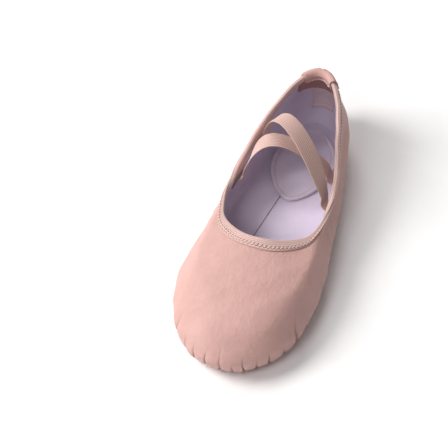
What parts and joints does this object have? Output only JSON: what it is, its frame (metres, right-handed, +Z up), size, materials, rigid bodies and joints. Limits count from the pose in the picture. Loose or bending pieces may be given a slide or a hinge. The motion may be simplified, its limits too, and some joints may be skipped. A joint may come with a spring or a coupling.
{
  "type": "ballet slipper",
  "caption": "Soft split-sole ballet slipper with a gathered toe, bound topline, crossed elastics and suede pads; the heel lifts at the soft arch.",
  "frame": {"origin": "on the floor, at the middle of the slipper's length and width", "axes": "+X to the wearer's side, toe to -Y, heel to +Y, +Z up"},
  "size_m": [0.0862, 0.229, 0.0662],
  "materials": {
    "leather": "soft matte ballet pink",
    "suede": "suede",
    "lining": "plain cotton",
    "tape": "ribbed tape",
    "elastic": "ribbed elastic",
    "cord": "covered elastic cord",
    "thread": "sewing thread",
    "insole": "cotton cover"
  },
  "bodies": {
    "forefoot": {"binding_front": "tape", "binding_stitches_front": "thread", "binding_waist": "tape", "forefoot_sole_pad": "suede", "forefoot_stitches_inner": "thread", "forefoot_stitches_outer": "thread", "insole_forefoot": "insole", "lining_front": "lining", "lining_waist": "lining", "topline_cord_front": "cord", "topline_cord_waist": "cord", "upper_front": "leather", "upper_waist": "leather"},
    "heel": {"arch_seam_stitches": "thread", "back_seam_stitches": "thread", "back_seam_tape": "tape", "binding_rear": "tape", "binding_stitches_rear": "thread", "heel_facing": "leather", "heel_pad_stitches": "thread", "heel_sole_pad": "suede", "heel_tab": "leather", "heel_tab_stitches": "thread", "insole_heel": "insole", "lining_rear": "lining", "strap_lower_end_left": "elastic", "strap_lower_end_right": "elastic", "strap_upper_end_left": "elastic", "strap_upper_end_right": "elastic", "topline_cord_rear": "cord", "upper_rear": "leather"},
    "strap_upper_body": {"strap_upper": "elastic"},
    "strap_lower_body": {"strap_lower": "elastic"}
  },
  "joints": [
    {"name": "heel_lift", "type": "hinge", "parent": "forefoot", "child": "heel", "pos_m": [0, -0.002, 0], "axis": [1, 0, 0], "range_deg": [0, 30], "stiffness_Nm_per_rad": 0.02, "deforming": ["binding_waist", "lining_waist", "topline_cord_waist", "upper_waist"]},
    {"name": "strap_upper_swing", "type": "hinge", "parent": "heel", "child": "strap_upper_body", "pos_m": [0.00275, 0.03489, 0.03071], "axis": [0.8337, -0.5487, -0.0615], "range_deg": [-18, 18], "stiffness_Nm_per_rad": 0.01},
    {"name": "strap_lower_swing", "type": "hinge", "parent": "heel", "child": "strap_lower_body", "pos_m": [-0.00108, 0.03299, 0.02961], "axis": [0.968, 0.2495, 0.0256], "range_deg": [-18, 18], "stiffness_Nm_per_rad": 0.01}
  ],
  "couplings": [
    {"joint": "strap_lower_swing", "follows": "strap_upper_swing", "ratio": 1}
  ]
}
